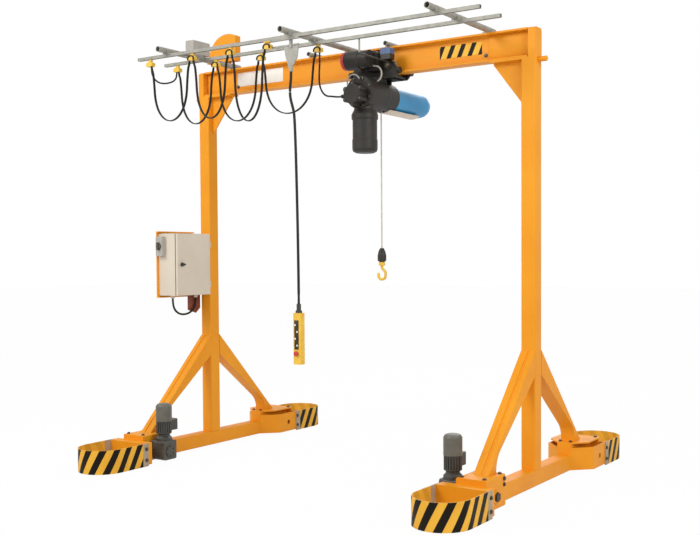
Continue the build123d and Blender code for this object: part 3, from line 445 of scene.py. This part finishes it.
# Cables: the same route points as the solids, on smooth splines
CABLE_TOP, LOOP_START, LOOP_IN = 2.8952, 0.020, 0.024
CARRIER_X_OUTER = (-1.265, -0.853, -0.497, -0.168)
CARRIER_X_INNER = (-1.257, -0.872, -0.448, 0.052)
DROPS_OUTER = (0.410, 0.422, 0.468)
DROPS_INNER = (0.402, 0.412, 0.396)
LOOP_Y_OUTER, LOOP_Y_INNER = -0.748, -0.483
CABLE_W, PENDANT_W, CABINET_W = 0.012, 0.018, 0.016
FLAT_W, FLAT_T = 0.020, 0.008
LOOP_TOP = [(0, 0), (0, -0.022), (0.012, -0.044), (0.018, -0.088)]
LOOP = [(0, 0.36), (0.02, 0.58), (0.11, 0.79), (0.28, 0.945)]
LINK = [(-1.265, -0.732, 0), (-1.265, -0.732, -0.040), (-1.267, -0.708, -0.080), (-1.268, -0.662, -0.102),
        (-1.265, -0.610, -0.102), (-1.262, -0.558, -0.090), (-1.259, -0.514, -0.070),
        (-1.257, -0.486, -0.038), (-1.257, -0.486, 0)]
LEAD = [(0.054, -0.464, 0), (0.054, -0.464, -0.066), (0.045, -0.459, -0.140), (0.032, -0.442, -0.208),
        (0.029, -0.408, -0.256), (0.043, -0.376, -0.282), (0.068, -0.346, -0.2812),
        (0.102, -0.330, -0.2872), (0.1407, -0.330, -0.2872)]
PENDANT_AT = Vector((0.008, -0.718, 2.7317))
PENDANT = [(0, 0), (0, -0.046), (-0.010, -0.106), (-0.009, -0.168), (0.011, -0.230), (0.030, -0.298),
           (0.049, -1.180), (0.049, -1.5284)]
CABINET_AT = Vector((-1.443, -0.370, 1.1997))
CABINET = [(0, 0), (0, -0.050), (0.024, -0.096), (0.070, -0.124), (0.130, -0.130), (0.186, -0.118),
           (0.228, -0.088), (0.250, -0.046), (0.250, 0)]
# Each loop hangs between two stops of its rail, whose travel is a share of the pendant's or the hoist's
OUTER_BODIES = ("outer_cable_carrier_1", "outer_cable_carrier_2", "pendant")
INNER_BODIES = ("inner_cable_carrier_1", "inner_cable_carrier_2", "inner_cable_carrier_3")
OUTER_SHARES = (0, 0.33408, 0.66752, 1)
INNER_SHARES = (0, 0.24153, 0.50153, 0.80153)


def spline_tube(name, points, width, thick):
    """Round or flat tube on a smooth spline."""
    data = bpy.data.curves.new(name, "CURVE")
    data.dimensions = "3D"
    data.bevel_depth = (thick or width) / 2
    data.extrude = (width - thick) / 2 if thick else 0
    data.twist_mode = "Z_UP"
    data.bevel_resolution = 4
    data.resolution_u = 8
    data.use_fill_caps = True
    spline = data.splines.new("NURBS")
    spline.points.add(len(points) - 1)
    for point, place in zip(spline.points, points):
        point.co = (*place, 1.0)
        point.tilt = math.pi / 2 if thick else 0
    spline.order_u = 3
    spline.use_endpoint_u = True
    data.materials.append(black_rubber)
    made = bpy.data.objects.new(name, data)
    bpy.context.scene.collection.objects.link(made)
    return made


def centre_line(curve):
    """Points along a curve's own line, without its thickness."""
    bare = curve.data.copy()
    bare.bevel_depth = 0
    bare.extrude = 0
    ghost = bpy.data.objects.new("ghost", bare)
    bpy.context.scene.collection.objects.link(ghost)
    bpy.context.view_layer.update()
    mesh = bpy.data.meshes.new_from_object(ghost.evaluated_get(bpy.context.evaluated_depsgraph_get()))
    places = [v.co.copy() for v in mesh.vertices]
    bpy.data.objects.remove(ghost)
    bpy.data.curves.remove(bare)
    bpy.data.meshes.remove(mesh)
    return places


def cable(name, points, width, body, node, thick=None, share=None):
    """Cable that stands for its solid. Without a share it rides on a body; with a share it is made a plain
    mesh that rides on no body."""
    made = spline_tube(name, points, width, thick)
    line = centre_line(made)
    if share is None:
        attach(made, body)
    else:
        only(made)
        bpy.ops.object.convert(target="MESH")
        made = bpy.context.object
        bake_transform(made)
    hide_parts(node)


def loop_route(x0, x1, y, drop):
    """Points of a loop that hangs between two places on its rail."""
    span = x1 - x0 - 2 * LOOP_IN
    half = LOOP_TOP + [(LOOP_IN + span * a, -drop * b) for a, b in LOOP]
    line = half + [((x1 - x0) / 2, -drop)] + [(x1 - x0 - a, b) for a, b in reversed(half)]
    return [(x0 + a, y, CABLE_TOP + b) for a, b in line]


for rail, stops, drops, y, bodies, shares in (
        ("outer", CARRIER_X_OUTER, DROPS_OUTER, LOOP_Y_OUTER, OUTER_BODIES, OUTER_SHARES),
        ("inner", CARRIER_X_INNER, DROPS_INNER, LOOP_Y_INNER, INNER_BODIES, INNER_SHARES)):
    for i, drop in enumerate(drops):
        route = loop_route(stops[i] + LOOP_START, stops[i + 1] - LOOP_START, y, drop)
        cable("%s_loop_%d" % (rail, i + 1), route, FLAT_W, bodies[i], rail + "_cable_loops", FLAT_T,
              shares[i] / shares[i + 1])
cable("link_line", [(x, y, CABLE_TOP + z) for x, y, z in LINK], CABLE_W, "base", "link_cable")
cable("hoist_line", [(x, y, CABLE_TOP + z) for x, y, z in LEAD], CABLE_W, "hoist", "hoist_cable",
      share=INNER_SHARES[3])
cable("pendant_line", [PENDANT_AT + Vector((x, 0, z)) for x, z in PENDANT], PENDANT_W, "pendant",
      "pendant_cable")
cable("cabinet_line", [CABINET_AT + Vector((0, y, z)) for y, z in CABINET], CABINET_W, "base",
      "cabinet_cable")

# Straps: the cables lie over the yellow saddles of their carriers
STRAP_Z, STRAP_REACH, STRAP_LEGS, STRAP_FRONT, STRAP_FLAT = 2.908, 0.026, 0.011, 0.010, 0.72


def strap(name, x, y, body):
    """Short stretch of cable over a saddle."""
    made = arch((x, y - STRAP_FRONT, STRAP_Z), STRAP_REACH, CABLE_W / 2, STRAP_FLAT, STRAP_LEGS)
    gather(name, [made], body, black_rubber)


for i in (1, 2):
    strap("outer_strap_%d" % i, CARRIER_X_OUTER[i], LOOP_Y_OUTER, OUTER_BODIES[i - 1])
for i in (1, 2, 3):
    strap("inner_strap_%d" % i, CARRIER_X_INNER[i], LOOP_Y_INNER, INNER_BODIES[i - 1])
strap("pendant_strap", CARRIER_X_OUTER[3], LOOP_Y_OUTER, "pendant")

# Bar from the pendant's saddle to its plate
HANGER_LOW, HANGER_HIGH = (-0.168, -0.731, 2.8975), (0.080, -0.721, 2.9090)
hanger = slab(HANGER_LOW, HANGER_HIGH, width_mm=1.0)
gather("hanger_bar", [hanger], "pendant", zinc_steel)

# Hazard panel, bare plate and end doublers on the girder's web
WEB_Y, PANEL_T, DOUBLER_T = -0.004, 0.0015, 0.006
BARE_X, BARE_Z = (-1.080, -0.633), (2.836, 2.940)
DOUBLERS_X, DOUBLER_Z = ((1.100, 1.385), (-1.385, -1.100)), (2.802, 2.956)


def web_plate(x, z, thick, width_mm=0.0):
    """Plate on the web's front, between two places in X and two heights."""
    return slab((x[0], WEB_Y - thick, z[0]), (x[1], WEB_Y, z[1]), width_mm)


panel = web_plate((PANEL_X, PANEL_X + PANEL_L), (PANEL_Z, PANEL_Z + PANEL_H), PANEL_T)
gather("hazard_panel", [panel], "base", hazard_panel_enamel)
bare = web_plate(BARE_X, BARE_Z, PANEL_T, width_mm=0.5)
gather("bare_plate", [bare], "base", white_enamel)
doublers = [web_plate(x, DOUBLER_Z, DOUBLER_T, width_mm=1.5) for x in DOUBLERS_X]
gather("web_doublers", doublers, "base", orange_enamel)

# Bolts on the frame, given for the right side and repeated on the left
FOOT_TOP = 0.216
FRAME_BOLTS = [((1.076, WEB_Y, 2.835), FRONT)]
FRAME_BOLTS += [((x, y, FOOT_TOP), UP) for x in (1.325, 1.475) for y in (-0.805, -0.608)]
FRAME_BOLTS += [((1.500, -0.602, z), RIGHT) for z in (0.190, 0.155)]
for x, y, way in ((1.560, -0.890, RIGHT), (1.200, -0.890, -RIGHT),
                  (1.580, 0.884, RIGHT), (1.220, 0.884, -RIGHT)):
    FRAME_BOLTS += [((x, y, z), way) for z in (0.060, 0.140)]
FRAME_BOLTS += [((x, 0.562, FOOT_TOP), UP) for x in (1.362, 1.438)]
FRAME_BOLTS += [((x, 0.840, FOOT_TOP), UP) for x in (1.288, 1.512)]
made = []
for at, way in FRAME_BOLTS:
    made += bolt(at, way)
    made += bolt((-at[0], at[1], at[2]), (-way[0], way[1], way[2]))
gather("frame_bolts", made, "base", bolt_steel)

# Bolts on the hoist: round the gear case and the brake cover, and at the trolley's rollers
HOIST_X, DRUM_Z, COVER_Z, CASE_Y, COVER_Y = 0.245, 2.636, 2.614, -0.282, -0.356
CASE_RING, CASE_BOLT, COVER_RING, COVER_BOLT = 0.097, 0.008, 0.068, 0.009
ROLLER_X, ROLLER_Y, ROLLER_Z, ROLLER_BOLT = 0.112, 0.082, 2.8375, 0.022
made = bolt_ring((HOIST_X, CASE_Y, DRUM_Z), RIGHT, FRONT, CASE_RING, 8, CASE_BOLT)
made += bolt_ring((HOIST_X, COVER_Y, COVER_Z), RIGHT, FRONT, COVER_RING, 6, COVER_BOLT)
for x in (-ROLLER_X, ROLLER_X):
    for y, way in ((-ROLLER_Y, FRONT), (ROLLER_Y, BACK)):
        made += bolt((HOIST_X + x, y, ROLLER_Z), way, ROLLER_BOLT)
gather("hoist_bolts", made, "hoist", bolt_steel)

# Conduits on the hoist: middle, reach, thickness, straight legs, and lean in degrees
CONDUITS = [((0.300, -0.160, 2.770), 0.055, 0.006, 0.03, 100),
            ((0.215, -0.300, 2.705), 0.050, 0.005, 0.02, -40)]
made = [arch(at, reach, thick, 1, legs, math.radians(lean)) for at, reach, thick, legs, lean in CONDUITS]
gather("hoist_conduits", made, "hoist", grey_abs)

# Hoist rope: a plain cylinder the size of the rope's solid, standing for it and riding on no body
rope_low, rope_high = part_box("hoist_rope")
rope_foot = Vector(((rope_low.x + rope_high.x) / 2, (rope_low.y + rope_high.y) / 2, rope_low.z))
rope = disc(rope_foot, UP, (rope_high.x - rope_low.x) / 2, rope_high.z - rope_low.z, sides=24)
rope = gather("lift_rope", [rope], None, rope_steel, "hoist_rope")
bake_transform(rope)

# Gearbox bolts on the front faces and round the end covers
GEARBOX_FRONT, GEARBOX_END, GEARBOX_Y, GEARBOX_Z = -0.769, 1.141, -0.707, 0.1
FACE_BOLT, END_RING, END_BOLT = 0.007, 0.033, 0.006
made = []
for side in (-1, 1):
    for x in (1.165, 1.270):
        for z in (0.056, 0.162):
            made += bolt((side * x, GEARBOX_FRONT, z), FRONT, FACE_BOLT)
    cover = (side * GEARBOX_END, GEARBOX_Y, GEARBOX_Z)
    made += bolt_ring(cover, BACK, (-side, 0, 0), END_RING, 6, END_BOLT)
gather("gearbox_bolts", made, "base", bolt_steel)

# Wing lock on the cabinet door: how far the wing stands off, its length from the axis, and its half heights
LOCK_AT = Vector((-1.336, -0.380, 1.461))
WING_BACK, WING_FACE, WING_ROOT, WING_TIP = 0.003, 0.012, -0.008, 0.036
WING_HALF, TIP_HALF, WING_TAPER = 0.016, 0.004, 0.3
ROSETTE_R, ROSETTE_T = 0.013, 0.004
wing = slab(LOCK_AT + Vector((WING_BACK, WING_ROOT, -WING_HALF)),
            LOCK_AT + Vector((WING_FACE, WING_TIP, WING_HALF)), width_mm=1.0)
trim(wing, [(LOCK_AT + Vector((0, WING_TIP, way * TIP_HALF)), (0, WING_TAPER, way)) for way in (-1, 1)])
rosette = disc(LOCK_AT, RIGHT, ROSETTE_R, ROSETTE_T, width_mm=0.8)
gather("door_lock", [rosette, wing], "cabinet_door", black_abs)

# Seam beside the door, and the bracket below the cabinet with its pointed lower end
SEAM_LOW, SEAM_HIGH = (-1.3672, -0.4170, 1.226), (-1.3606, -0.4150, 1.696)
BRACKET_LOW, BRACKET_HIGH = (-1.467, -0.187, 1.075), (-1.459, -0.052, 1.2225)
BRACKET_POINT, BRACKET_SLOPES = (0, -0.100, 1.075), ((0, 0.040, -0.048), (0, -0.027, -0.087))
gather("door_seam", [slab(SEAM_LOW, SEAM_HIGH, width_mm=0.4)], "base", charcoal_abs)
# The bracket is orange steel; its deep shade is painted into its dark red-brown colour
bracket = slab(BRACKET_LOW, BRACKET_HIGH)
trim(bracket, [(BRACKET_POINT, way) for way in BRACKET_SLOPES])
soften(bracket, width_mm=1.0)
gather("cabinet_bracket", [bracket], "base", bracket_shade_brown)

# Pendant face: dark strip, two rows of keys and a red stop button
KEY_X, KEY_FACE = 0.057, -0.744
STRIP_HALF, STRIP_T, STRIP_FOOT, STRIP_HEAD = 0.017, 0.003, 0.904, 1.096
KEY_ROWS, KEY_FOOT, KEY_RISE, KEY_APART, KEY_R, KEY_T = 4, 0.930, 0.045, 0.016, 0.0068, 0.005
STOP_Z, STEM_R, STEM_T, CAP_R, CAP_T = 0.876, 0.011, 0.006, 0.017, 0.008
strip = slab((KEY_X - STRIP_HALF, KEY_FACE - STRIP_T, STRIP_FOOT),
             (KEY_X + STRIP_HALF, KEY_FACE, STRIP_HEAD), width_mm=0.8)
gather("pendant_strip", [strip], "pendant", black_abs, "pendant_buttons")
white_keys, black_keys = [], []
for row in range(KEY_ROWS):
    for side in (0, 1):
        at = (KEY_X + KEY_APART * (side - 0.5), KEY_FACE - STRIP_T, KEY_FOOT + KEY_RISE * row)
        key = disc(at, FRONT, KEY_R, KEY_T, sides=24, width_mm=1.0)
        (white_keys if (row + side) % 2 else black_keys).append(key)
gather("white_keys", white_keys, "pendant", white_abs, "pendant_buttons")
gather("black_keys", black_keys, "pendant", black_abs, "pendant_buttons")
stop = [disc((KEY_X, KEY_FACE, STOP_Z), FRONT, STEM_R, STEM_T),
        disc((KEY_X, KEY_FACE - STEM_T, STOP_Z), FRONT, CAP_R, CAP_T, width_mm=2.5)]
gather("stop_button", stop, "pendant", brake_red_enamel, "pendant_buttons")

# Floor, sky and lamps
WHITE = (1, 1, 1, 1)
SKY_LIGHT, FLOOR_SIZE, FLOOR_SHADE, FLOOR_ROUGH, FLOOR_VEIL = 0.50, 80, (0.82, 0.82, 0.82, 1), 0.95, 0.975
LAMP_SIZE = 4.0
LAMPS = [("key", (-3.5, -7.5, 7.0), (0, 0, 1.4), 480),
         ("side", (8.0, -3.0, 5.0), (0, 0, 1.4), 300),
         ("back", (-2.0, 7.0, 6.0), (0, 0, 1.5), 200)]


def white_to_camera(tree, other, white):
    """Shows a plain white to the camera and in reflections, and another shader to all else."""
    path = add(tree, "LightPath").outputs
    seen = calc(tree, "MAXIMUM", path["Is Camera Ray"], path["Is Glossy Ray"])
    seen = calc(tree, "MAXIMUM", seen, path["Is Transmission Ray"])
    return add(tree, "MixShader", {0: seen, 1: other, 2: white}).outputs[0]


def make_stage():
    """Pale floor under an even sky, both white to the camera."""
    world = bpy.data.worlds.new("studio")
    bpy.context.scene.world = world
    world.use_nodes = True
    tree = world.node_tree
    dim = tree.nodes["Background"]
    dim.inputs["Color"].default_value = WHITE
    dim.inputs["Strength"].default_value = SKY_LIGHT
    bright = add(tree, "Background", {"Color": WHITE, "Strength": 1.0})
    shown = white_to_camera(tree, dim.outputs[0], bright.outputs[0])
    tree.links.new(shown, tree.nodes["World Output"].inputs["Surface"])
    bpy.ops.object.select_all(action="DESELECT")
    bpy.ops.mesh.primitive_plane_add(size=FLOOR_SIZE, location=(0, 0, 0))
    floor = bpy.context.object
    floor.name = "floor"
    material, tree, shader, _ = blank("pale_floor")
    shader.inputs["Base Color"].default_value = FLOOR_SHADE
    shader.inputs["Roughness"].default_value = FLOOR_ROUGH
    glow = add(tree, "Emission", {"Color": WHITE, "Strength": 1.0})
    veil = add(tree, "MixShader", {0: FLOOR_VEIL, 1: shader.outputs[0], 2: glow.outputs[0]})
    shown = white_to_camera(tree, shader.outputs[0], veil.outputs[0])
    tree.links.new(shown, tree.nodes["Material Output"].inputs["Surface"])
    floor.data.materials.append(material)


def lamp(name, place, target, watts):
    """Square lamp that faces a point."""
    data = bpy.data.lights.new(name, "AREA")
    data.size = LAMP_SIZE
    data.energy = watts
    made = bpy.data.objects.new(name, data)
    made.location = place
    made.rotation_euler = (Vector(target) - Vector(place)).to_track_quat("-Z", "Y").to_euler()
    bpy.context.scene.collection.objects.link(made)


make_stage()
for name, place, target, watts in LAMPS:
    lamp(name, place, target, watts)

bpy.context.scene.view_settings.view_transform = "Standard"
